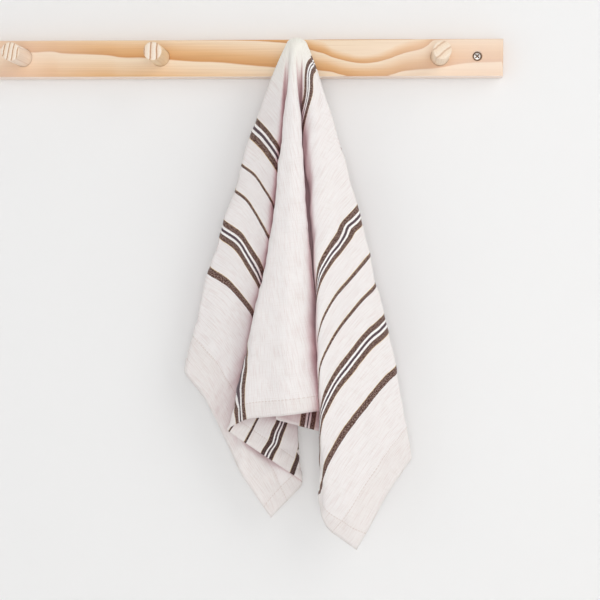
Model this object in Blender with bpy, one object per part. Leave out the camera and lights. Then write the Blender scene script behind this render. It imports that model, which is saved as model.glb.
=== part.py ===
# Tea towel hanging from a peg rail.
# A striped tea towel is hooked over the third of four wooden pegs by a point near one long edge.
# The cloth falls from that point in a fan of folds, which are set out row by row in FOLDS.
# Units are metres, +Z is up, and the wall is the plane y = 0 behind the board, with the room at -Y.

import math

import bmesh
import bpy
import numpy as np

MM = 0.001

# Board that carries the pegs.
RAIL_LENGTH = 0.572
RAIL_HEIGHT = 0.039
RAIL_DEPTH = 0.018
RAIL_ARRIS = 0.0015

# Pegs, turned from dowel and set in blind holes.
PEG_COUNT = 4
PEG_SPACING = 0.147
PEG_RADIUS = 0.0095
PEG_LENGTH = 0.050
PEG_SEAT_DEPTH = 0.012
PEG_RIM = 0.0008
PEG_HEIGHT = 0.0015
PEG_SIDES = 48

# Countersunk screws, one near each end of the board.
SCREW_OFFSET = 0.0268
SCREW_HEAD_RADIUS = 0.0047
SCREW_HEAD_SINK = 0.0008
SCREW_HEAD_DEPTH = 0.0030
SCREW_SHANK_RADIUS = 0.0021
SCREW_END_GAP = 0.0005
SCREW_SIDES = 32
CROSS_LENGTH = 0.0056
CROSS_WIDTH = 0.0012
CROSS_DEPTH = 0.0016
COUNTERSINK_RADIUS = 0.0055

FIT_GAP = 0.0003

# The towel's flat size, seen from the point that sits on the peg's tip.
TOWEL_LEFT = 0.320
TOWEL_RIGHT = 0.380
TOWEL_FRONT = 0.395
TOWEL_BACK = 0.045
CLOTH_THICKNESS = 0.0011
TOWEL_PEG = 3

# How the cloth sits on the peg's tip: a round dome, with some length taken up in gathers.
TIP_BEHIND_RIM = 0.003
DOME_RADIUS = 0.0125
DOME_TOP = 0.0143
DOME_REACH = 0.030
SADDLE_START = 0.022
SADDLE_GAP = 0.0005
GATHER_TAKEN = 0.020
GATHER_SPREAD = 0.024
SETTLE_LENGTH = 0.035
PEG_HOLD = 0.030
PEG_HOLD_FADE = 0.008

# How far round the edge each fold is rounded, and how near a corner the rounding fades out.
FOLD_ROUNDING = 0.009
FOLD_ROUNDING_TOP = 0.016
CORNER_SHARPNESS = 0.030

# The mesh of the cloth: rings round the tip, and columns between fold lines.
RING_COUNT_TOP = 5
RING_COUNT_BODY = 13
COLUMN_WIDTH = 0.022
COLUMNS_MIN = 4
RING_CROWDING = 1.15

# One row for each fold line, in order round the cloth's edge, starting on top of the peg.
# u, w: where the fold line meets the edge of the flat cloth, to the right of and in front of the tip.
# mid_x, mid_y: where the line passes halfway down, x from the peg's axis and y from the wall.
# hem_x, hem_y, hem_z: where it ends, z from the board's middle. All are millimetres.
FOLD_COLUMNS = ("name", "u", "w", "mid_x", "mid_y", "hem_x", "hem_y", "hem_z")
FOLDS = (
    ("ridge on the peg", 0, -45, 0, -33, 0, -20, 12),
    ("left side of the peg", -30, -45, -9.3, -32.6, -10.5, -20, 2.3),
    ("below the peg, left", -52, -45, -11.5, -33, -12.5, -22.5, -16),
    ("back edge left", -150, -45, -15, -34, -18, -14, -112),
    ("back left corner", -320, -45, -24, -26, -34, -8, -288),
    ("hidden left pleat", -320, 20, -56, -31, -98, -14, -284),
    ("hidden left return", -320, 92, -26, -35, -40, -23, -300),
    ("left outline, upper", -320, 166, -72, -42, -117, -31, -307),
    ("left outline, lower", -320, 205, -69, -46, -121, -36, -328),
    ("left panel crease", -320, 278, -32, -47, -80, -50, -386),
    ("front left corner", -320, 395, -9, -30, -27, -35, -484),
    ("flap fold", -262, 395, 3, -26, 8, -21, -449),
    ("flap return", -143, 395, -33, -62, -73, -60, -387),
    ("centre panel left", -106, 395, -26, -69, -51, -72, -374),
    ("centre panel crown", -68, 395, -7, -77, -11, -79, -369),
    ("centre panel right", -33, 395, 18, -69, 31, -70, -365),
    ("shadow fold", 16, 395, -12, -50, -27, -49, -376),
    ("hidden right pleat", 132, 395, 38, -37, 74, -33, -405),
    ("hidden right return", 192, 395, 19, -46, 40, -44, -414),
    ("hidden right inner", 237, 395, 41, -49, 80, -46, -436),
    ("right panel left", 305, 395, 24, -58, 22, -57, -469),
    ("front right corner", 380, 395, 52, -63, 64, -62, -510),
    ("right outline", 380, 278, 76, -44, 124, -40, -416),
    ("hidden back pleat", 380, 200, 28, -33, 42, -20, -390),
    ("hidden back return", 380, 135, 56, -28.5, 96, -17, -352),
    ("hidden back inner", 380, 65, 20, -23, 34, -11, -346),
    ("back right corner", 380, -45, 37, -18, 62, -6, -338),
    ("back edge right", 150, -45, 15, -33, 19, -9, -112),
    ("below the peg, right", 52, -45, 11.5, -33, 12.5, -22.5, -16),
    ("right side of the peg", 30, -45, 9.3, -32.6, 10.5, -20, 2.3),
)


def clear_scene():
    for existing in list(bpy.data.objects):
        bpy.data.objects.remove(existing, do_unlink=True)


def make_material(name, color, roughness, metallic=0.0):
    material = bpy.data.materials.new(name)
    material.use_nodes = True
    shader = material.node_tree.nodes["Principled BSDF"]
    shader.inputs["Base Color"].default_value = (*color, 1.0)
    shader.inputs["Roughness"].default_value = roughness
    shader.inputs["Metallic"].default_value = metallic
    return material


def link_object(name, mesh, material):
    mesh.materials.append(material)
    piece = bpy.data.objects.new(name, mesh)
    bpy.context.scene.collection.objects.link(piece)
    return piece


def bmesh_object(name, bm, material=None):
    bmesh.ops.recalc_face_normals(bm, faces=bm.faces[:])
    mesh = bpy.data.meshes.new(name)
    bm.to_mesh(mesh)
    bm.free()
    if material is None:
        piece = bpy.data.objects.new(name, mesh)
        bpy.context.scene.collection.objects.link(piece)
        return piece
    return link_object(name, mesh, material)


def turned_body(name, profile, sides, material=None):
    """A closed turned body about its own Y axis from (radius, y) pairs, both ends on the axis."""
    bm = bmesh.new()
    verts = [bm.verts.new((radius, y, 0.0)) for radius, y in profile]
    edges = [bm.edges.new(pair) for pair in zip(verts[:-1], verts[1:])]
    bmesh.ops.spin(bm, geom=verts + edges, cent=(0, 0, 0), axis=(0, 1, 0), angle=math.tau,
                   steps=sides, use_merge=True)
    bmesh.ops.remove_doubles(bm, verts=bm.verts[:], dist=1e-6)
    return bmesh_object(name, bm, material)


def as_cutter(piece):
    piece.hide_render = True
    piece.display_type = "WIRE"
    return piece


def cut(piece, cutter):
    boolean = piece.modifiers.new("cut", "BOOLEAN")
    boolean.operation = "DIFFERENCE"
    boolean.object = as_cutter(cutter)


def peg_positions():
    first = -0.5 * (PEG_COUNT - 1) * PEG_SPACING
    return [first + index * PEG_SPACING for index in range(PEG_COUNT)]


def screw_positions():
    reach = 0.5 * RAIL_LENGTH - SCREW_OFFSET
    return {"screw_left": -reach, "screw_right": reach}


def make_rail(material):
    bm = bmesh.new()
    bmesh.ops.create_cube(bm, size=1.0)
    bmesh.ops.scale(bm, vec=(RAIL_LENGTH, RAIL_DEPTH, RAIL_HEIGHT), verts=bm.verts[:])
    bmesh.ops.translate(bm, vec=(0.0, -0.5 * RAIL_DEPTH, 0.0), verts=bm.verts[:])
    front = [edge for edge in bm.edges if sum(v.co.y for v in edge.verts) < -RAIL_DEPTH]
    bmesh.ops.bevel(bm, geom=front, offset=RAIL_ARRIS, segments=3, profile=0.5,
                    affect="EDGES", material=-1)
    rail = bmesh_object("rail", bm, material)
    for index, x in enumerate(peg_positions(), start=1):
        seat = turned_body("seat_cutter_%d" % index, (
            (0.0, -RAIL_DEPTH - 0.004),
            (PEG_RADIUS + FIT_GAP, -RAIL_DEPTH - 0.004),
            (PEG_RADIUS + FIT_GAP, PEG_SEAT_DEPTH - RAIL_DEPTH + FIT_GAP),
            (0.0, PEG_SEAT_DEPTH - RAIL_DEPTH + FIT_GAP),
        ), PEG_SIDES)
        seat.location = (x, 0.0, PEG_HEIGHT)
        cut(rail, seat)
    for name, x in screw_positions().items():
        cone_bottom = SCREW_HEAD_SINK + SCREW_HEAD_DEPTH - RAIL_DEPTH + FIT_GAP
        hole = turned_body(name + "_hole_cutter", (
            (0.0, -RAIL_DEPTH - 0.002),
            (COUNTERSINK_RADIUS, -RAIL_DEPTH - 0.002),
            (COUNTERSINK_RADIUS, SCREW_HEAD_SINK - RAIL_DEPTH),
            (SCREW_SHANK_RADIUS + FIT_GAP, cone_bottom),
            (SCREW_SHANK_RADIUS + FIT_GAP, 0.002),
            (0.0, 0.002),
        ), SCREW_SIDES)
        hole.location = (x, 0.0, PEG_HEIGHT)
        cut(rail, hole)
    return rail


def make_peg(index, x, material):
    tip = -RAIL_DEPTH - PEG_LENGTH
    seat = PEG_SEAT_DEPTH - RAIL_DEPTH
    arc = [math.radians(angle) for angle in (0, 45, 90)]
    flat = PEG_RADIUS - PEG_RIM
    rim = [(flat + PEG_RIM * math.sin(a), tip + PEG_RIM - PEG_RIM * math.cos(a)) for a in arc]
    profile = [(0.0, tip)] + rim + [(PEG_RADIUS, seat), (0.0, seat)]
    peg = turned_body("peg_%d" % index, profile, PEG_SIDES, material)
    peg.location = (x, 0.0, PEG_HEIGHT)
    peg.data.shade_smooth()
    peg.data.set_sharp_from_angle(angle=math.radians(40))
    return peg


def make_screw(name, x, material):
    head = SCREW_HEAD_SINK - RAIL_DEPTH
    screw = turned_body(name, (
        (0.0, head),
        (SCREW_HEAD_RADIUS, head),
        (SCREW_HEAD_RADIUS, head + 0.0004),
        (SCREW_SHANK_RADIUS, head + SCREW_HEAD_DEPTH),
        (SCREW_SHANK_RADIUS, -SCREW_END_GAP),
        (0.0, -SCREW_END_GAP),
    ), SCREW_SIDES, material)
    screw.location = (x, 0.0, PEG_HEIGHT)
    bm = bmesh.new()
    bmesh.ops.create_cube(bm, size=1.0)
    bmesh.ops.scale(bm, vec=(CROSS_LENGTH, 2 * CROSS_DEPTH, CROSS_WIDTH), verts=bm.verts[:])
    for turn, suffix in ((45, "a"), (-45, "b")):
        slot_bm = bm.copy()
        slot = bmesh_object("%s_slot_cutter_%s" % (name, suffix), slot_bm)
        slot.location = (x, head, PEG_HEIGHT)
        slot.rotation_euler = (0.0, math.radians(turn), 0.0)
        cut(screw, slot)
    bm.free()
    return screw


def ease(share):
    share = np.clip(share, 0, 1)
    return share * share * (3 - 2 * share)


class Drape:
    """The towel's hanging shape: a point of the flat cloth goes in, its place in the air comes out."""

    def __init__(self, peg_x):
        self.peg_x = peg_x
        self.tip_y = -RAIL_DEPTH - PEG_LENGTH + TIP_BEHIND_RIM
        width = TOWEL_LEFT + TOWEL_RIGHT
        depth = TOWEL_FRONT + TOWEL_BACK
        runs = (0.0, TOWEL_LEFT, depth, width, depth, TOWEL_RIGHT)
        self.corner_run = np.cumsum(runs)
        self.corner_u = np.array((0.0, -TOWEL_LEFT, -TOWEL_LEFT, TOWEL_RIGHT, TOWEL_RIGHT, 0.0))
        self.corner_w = np.array((-TOWEL_BACK, -TOWEL_BACK, TOWEL_FRONT, TOWEL_FRONT, -TOWEL_BACK, -TOWEL_BACK))
        self.perimeter = self.corner_run[-1]
        self.set_up_folds()

    def edge_point(self, run):
        """Flat position of a place on the cloth's edge, from its distance round the edge."""
        run = np.mod(run, self.perimeter)
        return np.interp(run, self.corner_run, self.corner_u), np.interp(run, self.corner_run, self.corner_w)

    def edge_run(self, u, w):
        """Distance round the edge of the place where the ray from the tip through (u, w) leaves the cloth."""
        u = np.asarray(u, float)
        w = np.asarray(w, float)
        tiny = 1e-12
        across = np.where(u < 0, TOWEL_LEFT / np.maximum(-u, tiny), TOWEL_RIGHT / np.maximum(u, tiny))
        along = np.where(w < 0, TOWEL_BACK / np.maximum(-w, tiny), TOWEL_FRONT / np.maximum(w, tiny))
        grow = np.minimum(across, along)
        edge_u = u * grow
        edge_w = w * grow
        on_side = across < along
        _, back_left, front_left, front_right, back_right, end = self.corner_run
        on_left = back_left + edge_w + TOWEL_BACK
        on_right = front_right + TOWEL_FRONT - edge_w
        on_front = front_left + edge_u + TOWEL_LEFT
        on_back = np.where(edge_u <= 0, -edge_u, end - edge_u)
        return np.where(on_side, np.where(u < 0, on_left, on_right), np.where(w > 0, on_front, on_back))

    def dome(self, u, w):
        """Cloth round the peg's tip: a dome in front of the tip and a saddle on the peg behind it."""
        reach = np.hypot(u, w)
        front = w > 0
        gathered = reach - GATHER_TAKEN * (1 - np.exp(-reach / GATHER_SPREAD))
        sideways = np.abs(u) - GATHER_TAKEN * (1 - np.exp(-np.abs(u) / GATHER_SPREAD))
        on_saddle = ease(-w / SADDLE_START)
        saddle_radius = PEG_RADIUS + SADDLE_GAP + 0.5 * CLOTH_THICKNESS
        radius = DOME_RADIUS + (saddle_radius - DOME_RADIUS) * on_saddle
        middle = DOME_TOP - DOME_RADIUS + (PEG_HEIGHT - DOME_TOP + DOME_RADIUS) * on_saddle
        length = np.where(front, gathered, sideways)
        angle = np.minimum(length / radius, math.pi / 2)
        out = radius * np.sin(angle)
        down = radius * (1 - np.cos(angle)) + np.maximum(length - radius * math.pi / 2, 0)
        safe = np.maximum(reach, 1e-9)
        x = np.where(front, out * u / safe, out * np.sign(u))
        y = np.where(front, -out * w / safe, -w)
        return np.stack((self.peg_x + x, self.tip_y + y, middle + radius - down), axis=-1)

    def set_up_folds(self):
        rows = [dict(zip(FOLD_COLUMNS, row)) for row in FOLDS]
        column = {key: MM * np.array([row[key] for row in rows], float) for key in FOLD_COLUMNS[1:]}
        self.u = column["u"]
        self.w = column["w"]
        self.length = np.hypot(self.u, self.w)
        self.run = self.edge_run(self.u, self.w)
        self.shoulder = self.shoulder_length(self.length)
        share = self.shoulder / self.length
        step = 1e-4 / self.length
        self.start = self.dome(self.u * share, self.w * share)
        before = self.dome(self.u * (share - step), self.w * (share - step))
        self.start_slope = (self.start - before) / 1e-4
        self.hem = np.stack((column["hem_x"] + self.peg_x, column["hem_y"], column["hem_z"]), axis=-1)
        mid_z = 0.5 * (self.start[:, 2] + self.hem[:, 2])
        self.mid = np.stack((column["mid_x"] + self.peg_x, column["mid_y"], mid_z), axis=-1)

    def shoulder_length(self, length):
        return np.minimum(DOME_REACH, 0.45 * length)

    def ring_length(self, ring, length):
        """Flat distance from the tip of a ring: 0 to 1 covers the dome, 1 to 2 the cloth below it."""
        shoulder = self.shoulder_length(length)
        return np.where(ring < 1, ring * shoulder, shoulder + (ring - 1) * (length - shoulder))

    def on_fold(self, index, ring):
        """Place on a fold line: the dome, then a smooth curve through its middle to its hem."""
        reach = self.ring_length(ring, self.length[index])
        share = reach / self.length[index]
        top = self.dome(self.u[index] * share, self.w[index] * share)
        half = 0.5 * (self.length[index] - self.shoulder[index])[..., None]
        start, mid, hem = self.start[index], self.mid[index], self.hem[index]
        slope_start = self.start_slope[index] * half
        slope_mid = 0.5 * (hem - start)
        slope_hem = 2 * (hem - mid) - slope_mid
        t = np.clip((ring - 1) * 2, 0, 2)[..., None]
        upper = t < 1
        a = np.where(upper, start, mid)
        b = np.where(upper, mid, hem)
        slope_a = np.where(upper, slope_start, slope_mid)
        slope_b = np.where(upper, slope_mid, slope_hem)
        s = np.where(upper, t, t - 1)
        curve = ((2 * s ** 3 - 3 * s ** 2 + 1) * a + (s ** 3 - 2 * s ** 2 + s) * slope_a
                 + (3 * s ** 2 - 2 * s ** 3) * b + (s ** 3 - s ** 2) * slope_b)
        on_dome = (ring < 1)[..., None]
        return np.where(on_dome, top, curve), top

    def between_folds(self, run, ring):
        run = np.mod(run, self.perimeter)
        after = np.searchsorted(self.run, run, side="right")
        before = after - 1
        start = self.run[before]
        end = np.where(after < len(self.run), self.run[after % len(self.run)], self.perimeter)
        share = ((run - start) / (end - start))[..., None]
        here, top_here = self.on_fold(before, ring)
        there, top_there = self.on_fold(after % len(self.run), ring)
        return here + (there - here) * share, top_here + (top_there - top_here) * share

    def place(self, run, ring):
        """Place in the air of the cloth's middle surface, with every fold rounded."""
        run = np.asarray(run, float)
        ring = np.asarray(ring, float)
        edge_u, edge_w = self.edge_point(run)
        length = np.hypot(edge_u, edge_w)
        reach = self.ring_length(ring, length)
        share = reach / length
        window = np.minimum(FOLD_ROUNDING / np.maximum(share, 0.05), FOLD_ROUNDING_TOP)
        for corner_u, corner_w in zip(self.corner_u[1:-1], self.corner_w[1:-1]):
            away = np.hypot(edge_u * share - corner_u, edge_w * share - corner_w)
            window = window * np.clip(away / CORNER_SHARPNESS, 0, 1)
        folded = np.zeros(run.shape + (3,))
        plain = np.zeros(run.shape + (3,))
        weights = ((-0.86, 0.5), (-0.5, 0.85), (-0.17, 1.0), (0.17, 1.0), (0.5, 0.85), (0.86, 0.5))
        total = sum(weight for _, weight in weights)
        for offset, weight in weights:
            point, top = self.between_folds(run + offset * window, ring)
            folded += point * (weight / total)
            plain += top * (weight / total)
        true_top = self.dome(edge_u * share, edge_w * share)
        beyond = np.where(edge_w > 0, reach - self.shoulder_length(length), np.abs(edge_u * share) - DOME_REACH)
        settle = np.exp(-np.maximum(beyond, 0) / SETTLE_LENGTH)
        settled = folded + (true_top - plain) * settle[..., None]
        on_peg = ease((PEG_HOLD - np.abs(edge_u * share)) / PEG_HOLD_FADE)
        on_peg = np.where(edge_w < 0, on_peg, 0.0)[..., None]
        return settled + (true_top - settled) * on_peg


def ring_values():
    top = [(index + 1) / RING_COUNT_TOP for index in range(RING_COUNT_TOP)]
    body = [1 + ((index + 1) / RING_COUNT_BODY) ** RING_CROWDING for index in range(RING_COUNT_BODY)]
    return top + body


def column_runs(drape):
    runs = []
    stops = list(drape.run) + [drape.perimeter]
    for start, end in zip(stops[:-1], stops[1:]):
        count = max(COLUMNS_MIN, round((end - start) / COLUMN_WIDTH))
        runs += [start + (end - start) * index / count for index in range(count)]
    return runs


def make_towel(material):
    drape = Drape(peg_positions()[TOWEL_PEG - 1])
    rings = ring_values()
    runs = column_runs(drape)
    grid_run, grid_ring = np.meshgrid(runs, rings)
    places = drape.place(grid_run, grid_ring)
    bm = bmesh.new()
    tip = bm.verts.new(drape.place(0.0, 0.0))
    grid = [[bm.verts.new(place) for place in row] for row in places]
    columns = len(runs)
    for column in range(columns):
        beside = (column + 1) % columns
        bm.faces.new((tip, grid[0][column], grid[0][beside]))
        for inner, outer in zip(grid[:-1], grid[1:]):
            bm.faces.new((inner[column], outer[column], outer[beside], inner[beside]))
    bmesh.ops.triangulate(bm, faces=bm.faces[:])
    towel = bmesh_object("towel", bm, material)
    solidify = towel.modifiers.new("thickness", "SOLIDIFY")
    solidify.thickness = CLOTH_THICKNESS
    solidify.offset = 0.0
    solidify.thickness_clamp = 2.0
    towel.data.shade_smooth()
    return towel


def main():
    clear_scene()
    pine = make_material("pine", (0.78, 0.55, 0.33), 0.55)
    peg_wood = make_material("peg wood", (0.82, 0.62, 0.40), 0.55)
    zinc = make_material("zinc screw", (0.55, 0.55, 0.53), 0.35, 1.0)
    cloth = make_material("towel cloth", (0.83, 0.79, 0.77), 0.9)
    make_rail(pine)
    for index, x in enumerate(peg_positions(), start=1):
        make_peg(index, x, peg_wood)
    for name, x in screw_positions().items():
        make_screw(name, x, zinc)
    make_towel(cloth)


main()
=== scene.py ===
import functools
import math

import bmesh
import bpy
import numpy as np
from mathutils import Matrix, Vector


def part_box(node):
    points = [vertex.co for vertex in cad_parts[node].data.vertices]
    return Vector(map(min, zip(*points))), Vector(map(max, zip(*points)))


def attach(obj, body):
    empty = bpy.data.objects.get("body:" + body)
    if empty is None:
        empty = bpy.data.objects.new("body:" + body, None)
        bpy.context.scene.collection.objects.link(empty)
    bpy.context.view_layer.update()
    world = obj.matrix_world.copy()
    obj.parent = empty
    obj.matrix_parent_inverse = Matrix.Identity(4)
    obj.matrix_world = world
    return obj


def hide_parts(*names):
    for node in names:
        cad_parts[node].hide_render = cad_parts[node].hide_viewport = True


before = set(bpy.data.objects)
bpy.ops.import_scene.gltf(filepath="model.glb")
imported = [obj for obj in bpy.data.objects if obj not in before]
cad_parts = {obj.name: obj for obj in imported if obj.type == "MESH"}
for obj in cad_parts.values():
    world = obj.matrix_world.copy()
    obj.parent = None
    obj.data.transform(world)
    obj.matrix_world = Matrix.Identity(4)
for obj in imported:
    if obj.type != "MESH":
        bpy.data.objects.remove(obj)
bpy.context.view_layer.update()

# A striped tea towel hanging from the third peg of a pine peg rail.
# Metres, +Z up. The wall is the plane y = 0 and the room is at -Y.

mm = 0.001

# Camera at the photograph's height and angle.
cameraView = {
    "place": (0.157, -1.418, -0.1775),
    "turn": 3.34,          # degrees to the left
    "tilt": 3.13,          # degrees down
    "roll": 0.24,
    "lens": 79.5,
}

# Pale room round the object.
studio = {
    "wallDepth": 0.0015,
    "wallSize": (9.0, 6.0),
    "floorHeight": -0.75,
    "floorSize": 9.0,
    "wallColor": "F1F1F0",
    "floorColor": "F2F1F0",
    "worldColor": "FBFBFC",
    "worldStrength": 0.55,
}
# Each light's place, the point that it faces, its size in metres, its watts and its colour.
studioLights = {
    "keyLight": ((1.75, -1.45, 0.95), (0.05, -0.03, -0.2), 2.0, 17, "FFFDFB"),
    "frontLight": ((0.2, -2.8, -0.2), (0.05, -0.03, -0.2), 1.0, 17, "FBFCFF"),
    "leftLight": ((-1.8, -1.5, 0.0), (0.05, -0.03, -0.2), 1.6, 2.5, "FBFCFF"),
    "rearLight": ((-1.2, 1.6, 0.8), (0.0, 0.0, -0.2), 1.6, 12, "FFFDF8"),
}

peg = {
    "radius": 0.0095,
    "tip": -0.068,
    "seat": -0.006,
    "height": 0.0015,      # of the pegs' and the screws' axes
    "rim": 0.0009,
    "crown": 0.0002,       # the sanded end is very slightly domed
    "steps": 96,
}
# How each dowel was turned before it was glued in: the slant of its growth lines in degrees, how far apart
# they are in millimetres, where the first one runs, how far they have faded, and the colour of its side.
pegParts = ("node", "slant", "spacing", "shift", "faded", "side")
pegRows = {
    "turnedPeg_1": ("peg_1", 12, 4.6, 0.3, 0.0, "F4DFCB"),
    "turnedPeg_2": ("peg_2", 3, 6.4, 0.2, 0.0, "EFCFA4"),
    "turnedPeg_3": ("peg_3", 30, 5.5, 0.0, 0.0, "F2D9BB"),
    "turnedPeg_4": ("peg_4", 52, 8.2, 0.55, 0.5, "F5E0C6"),
}

screw = {
    "head": -0.0172,
    "headRadius": 0.0047,
    "headDepth": 0.0030,
    "shankRadius": 0.0021,
    "end": -0.0005,
    "crown": 0.0003,
    "rimRadius": 0.0031,   # outside it the head is painted dark, as shade in the countersink
    "crossLength": 0.0078,
    "crossWidth": 0.0017,
    "crossDepth": 0.0016,
    "crossTurns": (45, -45),
    "floorLength": 0.45,   # the recess narrows to these shares of its length and width
    "floorWidth": 0.6,
    "steps": 64,
}
screwNames = {"zincScrew_left": "screw_left", "zincScrew_right": "screw_right"}

# The towel's flat size, measured from the point that sits on the peg's tip.
towel = {
    "left": 0.320, "right": 0.380, "front": 0.395, "back": 0.045,
    "columns": 252, "rows": 158,
    "closerAtTip": 1.0, "closerReach": 0.06,
    "thickness": 0.0014,       # at the hems, where the cloth is turned in
    "thinShare": 0.5,          # of that thickness, in the single cloth
    "endHem": 0.028, "sideHem": 0.016, "hemEdge": 0.002,
}
# How the cloth sits on the tip: a round dome with some of its width taken up in gathers.
tip = {
    "y": -0.065, "domeRadius": 0.0125, "domeTop": 0.0143, "domeReach": 0.030,
    "saddleStart": 0.022, "saddleRadius": 0.01055,
    "gatherTaken": 0.020, "gatherSpread": 0.024, "settle": 0.027, "sideFlare": 0.25, "lean": 0.5,
    "hold": 0.030, "holdFade": 0.008, "domeShare": 0.45,   # the dome's most of a line's length
}
# How far round the cloth's edge a fold is rounded, and how much each place beside it counts in that.
folding = {
    "round": 0.011, "roundAtTop": 0.018, "leastReach": 0.05, "cornerSharpness": 0.030,
    "beside": ((-0.86, 0.5), (-0.5, 0.85), (-0.17, 1.0), (0.17, 1.0), (0.5, 0.85), (0.86, 0.5)),
}

# One row for each fold line, in order round the cloth's edge, starting on top of the peg. Millimetres.
# edge: where the line meets the flat cloth's edge, to the right of and in front of the tip.
# upper, middle, lower: where it passes a quarter, half and three quarters of the way down, from the peg's
# axis and from the wall. None lets it fall by itself. hem: where it ends, the height from the board's middle.
foldParts = ("name", "edge", "upper", "middle", "lower", "hem")
foldRows = (
    ("ridge on the peg", (0, -45), None, (0, -33), None, (0, -20, 12)),
    ("left side of the peg", (-30, -45), None, (-9.3, -32.6), None, (-10.5, -20, 2.3)),
    ("below the peg, left", (-52, -45), None, (-11.5, -33), None, (-12.5, -22.5, -16)),
    ("back edge left", (-150, -45), None, (-15, -34), None, (-18, -14, -112)),
    ("back left corner", (-320, -45), None, (-24, -26), None, (-34, -8, -288)),
    ("hidden left pleat", (-320, 20), (-26, -34, -62), (-54, -29, -136), (-78, -22, -210), (-98, -14, -284)),
    ("hidden left return", (-320, 92), (-15, -37, -66), (-24, -35, -144), (-32, -29, -222), (-40, -23, -300)),
    ("left outline", (-320, 166), (-44, -44, -60), (-71, -41, -140), (-99, -38, -227), (-122, -35, -328)),
    ("left panel middle", (-320, 205), (-32, -52, -71), (-51, -49, -151), (-74, -47, -244), (-95, -44, -358)),
    ("left panel crease", (-320, 278), (-18, -59, -88), (-29, -57, -183), (-47, -49, -278), (-75, -40, -401)),
    ("left panel turn", (-320, 330), (-13, -47, -98), (-22, -41, -202), (-42, -37, -308), (-58, -43, -437)),
    ("front left corner", (-320, 395), (-9, -40, -112), (-12, -31, -228), (-20, -27, -352), (-27, -35, -484)),
    ("flap fold", (-262, 395), (-8, -38, -107), (-6, -28, -218), (-2, -22, -333), (8, -21, -449)),
    ("flap return", (-143, 395), (-14, -66, -93), (-26.5, -63, -190), (-49, -61, -290), (-73, -60, -387)),
    ("centre panel left", (-103, 395), (-15, -74, -90), (-24, -72, -184), (-42, -71, -279), (-50, -70, -374)),
    ("centre panel crown", (-60, 395), (-1.5, -78, -89), (0, -79, -182), (-2, -80, -276), (-2, -81, -368)),
    ("centre panel right", (-33, 395), (9, -69, -88), (20, -63, -180), (30, -54, -273), (37, -56, -365)),
    ("shadow fold", (16, 395), (-6, -55, -91), (-10, -56, -186), (-16, -53, -281), (-27, -49, -376)),
    ("hidden right pleat", (132, 395), (22, -46, -96), (56, -45, -200), (66, -41, -303), (74, -33, -405)),
    ("hidden right return", (192, 395), (8, -52, -94), (31, -51, -206), (36, -49, -311), (40, -42, -414)),
    ("hidden right inner", (237, 395), (8, -58, -112), (46, -55, -220), (60, -53, -327), (80, -46, -436)),
    ("right panel left", (305, 395), (12, -61, -120), (21, -58, -257), (26, -60, -394), (22, -60, -452)),
    ("right panel turn", (345, 395), (17.5, -66, -117), (21.5, -71, -241), (25.5, -74, -366), (32, -64, -488)),
    ("front right corner", (380, 395), (25, -66, -117), (39, -67, -236), (44, -72, -374), (64, -62, -510)),
    ("right panel middle", (380, 330), (34, -59, -101), (60, -57, -208), (80, -59, -328), (102, -50, -443)),
    ("right outline", (380, 278), (45, -50, -87), (75.8, -46, -194), (104, -43, -307), (123, -40, -415)),
    ("hidden back pleat", (380, 200), None, (28, -33), None, (42, -20, -390)),
    ("hidden back return", (380, 135), None, (56, -28.5), None, (96, -17, -352)),
    ("hidden back inner", (380, 65), None, (20, -23), None, (34, -11, -346)),
    ("back right corner", (380, -45), None, (37, -18), None, (62, -6, -338)),
    ("back edge right", (150, -45), None, (15, -33), None, (19, -9, -112)),
    ("below the peg, right", (52, -45), None, (11.5, -33), None, (12.5, -22.5, -16)),
    ("right side of the peg", (30, -45), None, (9.3, -32.6), None, (10.5, -20, 2.3)),
)

# The woven stripes. threads: the order of the coloured threads across a band, in millimetres from its start,
# each running to the next. The bands lie at these distances from both ends of the cloth, and one group
# lies across its middle.
threads = {
    "group": ((0, "ground"), (1.4, "ochre"), (1.8, "brown"), (6.5, "white"), (8.6, "plum"), (10.9, "white"),
              (13.0, "brown"), (17.7, "ochre"), (18.1, "ground")),
    "middle": ((0, "ground"), (0.5, "ochre"), (0.9, "brown"), (6.4, "white"), (8.8, "plum"), (10.2, "white"),
               (12.6, "brown"), (18.2, "ochre"), (18.6, "ground")),
    "wide": ((0, "ground"), (1.2, "brown"), (7.3, "ochre"), (7.8, "ground")),
    "narrow": ((0, "ground"), (1.1, "brown"), (4.0, "ochre"), (4.5, "ground")),
}
bands = (
    (73.7, "wide"),
    (106.7, "group"),
    (145.5, "narrow"),
    (170.5, "narrow"),
    (197.7, "group"),
)
middleBand = {"place": 0.370, "width": 0.0195}
threadColors = {
    "ground": "F1EDEB",
    "white": "F8F6F4",
    "ochre": "DDC397",
    "brown": "4C3129",
    "plum": "5A4A50",
    "reverse": "3D2626",
}


def toLinear(hexColor, alpha=1.0):
    channels = [int(hexColor[i:i + 2], 16) / 255 for i in (0, 2, 4)]
    return (*[c / 12.92 if c <= 0.04045 else ((c + 0.055) / 1.055) ** 2.4 for c in channels], alpha)


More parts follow.
